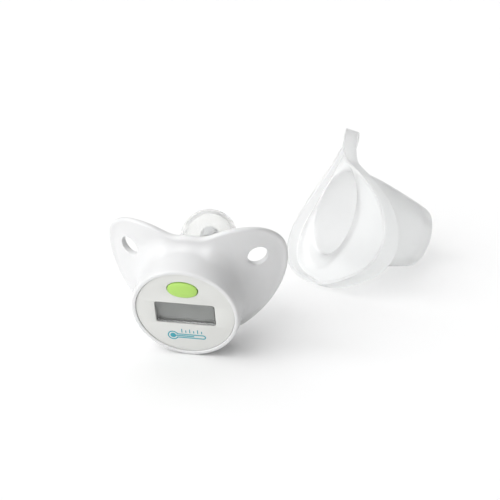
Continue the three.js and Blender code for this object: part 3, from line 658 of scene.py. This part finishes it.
# ------------------------------------------------------------------ protective cap
def build_cap():
    n = 240
    W = CAP_WALL
    cols = []
    for i in range(n):
        phi = 2 * math.pi * i / n
        c, s = math.cos(phi), math.sin(phi)
        ro = outline_radius(CAP_OUTLINE, phi)
        inn, out = ro + CAP_CLEAR, ro + CAP_CLEAR + W

        def seat(r):
            low = sweep_y(r * c) + WING_T + CAP_SEAT_GAP
            t = min(max((r - 13.8) / 2.6, 0), 1)
            return low + max(CAP_SEAT_Y - low, 0) * (1 - t * t * (3 - 2 * t))
        rim = sweep_y(inn * c) + CAP_RIM_UP

        def cup(r, y):
            return (r * c, y, CAP_Z + r * s)

        def fl(r, dy=0.0):
            return (r * c, seat(r) + dy, r * s)
        RE = CAP_END_R - W
        side = spline([(CAP_CUP_R, 17.4)] + [(r, y) for y, r in CAP_CUP] + [(CAP_END_R + 0.35, CAP_END_Y - 2.2)], 4)
        p = [cup(0.35 * (RE - 2), CAP_END_Y - W), cup(0.75 * (RE - 2), CAP_END_Y - W)]
        p += [cup(*q) for q in soften([(RE - 2.2, CAP_END_Y - W), (RE + 0.05, CAP_END_Y - W), (RE + 0.35, CAP_END_Y - W - 2.0)], [0, 1.7, 0], 7)]
        p += [cup(r - W, y) for r, y in reversed(side[1:-1])]
        a, b, d = cup(CAP_CUP_R - W, 17.4), cup(CAP_CUP_R - W, CAP_SEAT_Y + 0.1), fl(CAP_CUP_R - W + 2.1 + CAP_Z * s)
        p += soften([a, b, d], [0, 1.5, 0], 9)
        r_a, r_b = CAP_CUP_R - W + 2.4 + CAP_Z * s, inn - 1.2
        for t in (0.12, 0.25, 0.38, 0.5, 0.62, 0.75, 0.88, 1.0):
            p.append(fl(r_a + (r_b - r_a) * t))
        p += soften([fl(inn - 1.15), (inn * c, seat(inn), inn * s), (inn * c, seat(inn) - 1.1, inn * s)], [0, 0.9, 0], 7)
        p += [(inn * c, rim + 0.5 + (seat(inn) - 1.15 - rim - 0.5) * t, inn * s) for t in (0.66, 0.33)]
        p += soften([(inn * c, rim + 0.5, inn * s), (inn * c, rim, inn * s), (out * c, rim, out * s), (out * c, rim + 0.5, out * s)], [0, 0.42, 0.42, 0], 5)
        top = seat(out) + W
        p += [(out * c, rim + 0.5 + (top - 1.7 - rim - 0.5) * t, out * s) for t in (0.25, 0.5, 0.75)]
        p += soften([(out * c, top - 1.6, out * s), (out * c, top, out * s), fl(out - 1.7, W)], [0, 1.5, 0], 8)
        r_c, r_d = out - 1.8, CAP_CUP_R + 1.9 + CAP_Z * s
        for t in (0.0, 0.15, 0.3, 0.45, 0.6, 0.75, 0.9):
            p.append(fl(r_c + (r_d - r_c) * t, W))
        p += soften([fl(r_d, W), cup(CAP_CUP_R, CAP_SEAT_Y + W + 0.1), cup(CAP_CUP_R, CAP_SEAT_Y + W + 2.4)], [0, 1.5, 0], 8)
        p += [cup(r, y) for r, y in side if CAP_SEAT_Y + W + 2.6 < y < CAP_END_Y - 2.3]
        p += [cup(*q) for q in soften([(CAP_END_R + 0.33, CAP_END_Y - 2.3), (CAP_END_R - 0.2, CAP_END_Y - 0.12), (CAP_END_R - 2.4, CAP_END_Y)], [0, 2.3, 0], 9)]
        p += [cup(0.75 * (CAP_END_R - 2), CAP_END_Y), cup(0.35 * (CAP_END_R - 2), CAP_END_Y)]
        cols.append(p)
    rings = [[(0, CAP_END_Y - W, CAP_Z)]]
    for j in range(len(cols[0])):
        rings.append([q[j] for q in cols])
    rings.append([(0, CAP_END_Y, CAP_Z)])
    v, f = rings_to_faces(rings)
    o = make_object("cap_shell", v, f, C_MAT, 60)
    for q in o.data.vertices:                                # it rests on the table, never in it
        q.co.z = max(q.co.z, 0.00002)
    o.data.update()
    return finish_piece(o, "cap", "cap_clear", None, "protective_cap")


build_cap()


# ------------------------------------------------------------------ printed pictogram on the face (generic)
def print_mark():
    """A small plain thermometer outline lying on its side, with scale ticks: about 9 mm wide, printed under the window."""
    y0, y1, cz, k = PLATE_Y0 - 0.03, PLATE_Y0 + 0.02, -7.75, 1.14
    loops = []
    objs = []
    # outline: bulb at the left and a round-ended tube, drawn as a ring
    def capsule(r_bulb, r_tube, x0, x1, n=20):
        pts = []
        a0 = math.asin(r_tube / r_bulb)
        for k in range(2 * n + 1):
            a = a0 + (2 * math.pi - 2 * a0) * k / (2 * n)
            pts.append((x0 + r_bulb * math.cos(a), cz + r_bulb * math.sin(a)))
        for k in range(n + 1):
            a = -math.pi / 2 + math.pi * k / n
            pts.append((x1 + r_tube * math.cos(a), cz + r_tube * math.sin(a)))
        return pts
    def grow(loop):
        return [(x * k, cz + (z - cz) * k) for x, z in loop]
    objs.append(plate_from_loops("mark_outline", [grow(capsule(1.25, 0.62, -3.3, 3.6)), grow(capsule(0.97, 0.34, -3.3, 3.6))], y0, y1, 0.008))
    objs.append(plate_from_loops("mark_fill", [grow(capsule(0.66, 0.15, -3.3, 1.4))], y0, y1, 0.008))
    for i, x in enumerate((-1.2, -0.3, 0.6, 1.5, 2.4, 3.3)):
        h = 0.75 if i % 2 else 1.1
        objs.append(plate_from_loops(f"mark_tick_{i}", [grow(rounded_rect(0.22, h, 0.09, x, cz + 0.95 + h / 2, 3))], y0, y1, 0.008))
    bm = bmesh.new()
    for o in objs:
        bm.from_mesh(o.data)
    me = bpy.data.meshes.new("face_mark")
    bm.to_mesh(me)
    bm.free()
    for o in objs:
        bpy.data.objects.remove(o)
    o = bpy.data.objects.new("face_mark", me)
    scene.collection.objects.link(o)
    tidy(o, 40, 1e-8)
    return finish_piece(o, "thermometer", "print_teal", "face_grey")


print_mark()

# ------------------------------------------------------------------ carried-over CAD nodes get node materials
SLOT_OF = {s["node"]: s["material_slot"] for s in frame["record"]["subparts"]}
for name, o in NODES.items():
    m = MATS[SLOT_OF[name]]
    if not o.data.materials:
        o.data.materials.append(m)
    for s in o.material_slots:
        s.material = m

# ------------------------------------------------------------------ floor and light
bm = bmesh.new()
bmesh.ops.create_grid(bm, x_segments=8, y_segments=8, size=6.0)
me = bpy.data.meshes.new("floor")
bm.to_mesh(me)
bm.free()
floor = bpy.data.objects.new("floor", me)
floor.location = (0, 0, -0.00005)
scene.collection.objects.link(floor)
fm, fnt, fb, _ = new_mat("mat_floor")
fv = object_coords(fnt, (1, 1, 1))
fnt.links.new(ramp(fnt, noise(fnt, fv, 3.0), [(0.2, (0.93, 0.93, 0.93)), (0.8, (0.95, 0.95, 0.95))]), fb.inputs["Base Color"])
fb.inputs["Roughness"].default_value = 0.9
fb.inputs["Specular IOR Level"].default_value = 0.1
floor.data.materials.append(fm)

world = bpy.data.worlds.new("world")
scene.world = world
world.use_nodes = True
bg = world.node_tree.nodes.get("Background") or world.node_tree.nodes.new("ShaderNodeBackground")
bg.inputs["Color"].default_value = (1, 1, 1, 1)
bg.inputs["Strength"].default_value = 0.18


def sun(name, direction, strength, angle):
    d = bpy.data.lights.new(name, "SUN")
    d.energy = strength
    d.angle = angle * RAD
    o = bpy.data.objects.new(name, d)
    scene.collection.objects.link(o)
    o.rotation_euler = Vector(direction).normalized().to_track_quat("-Z", "Y").to_euler()
    return o


sun("key", (0.56, 0.62, -0.50), 2.75, 80)
sun("top", (0.25, -0.20, -0.95), 1.15, 100)
sun("fill", (0.35, 0.92, -0.05), 0.34, 100)
sun("back", (0.15, -0.90, -0.40), 0.6, 90)
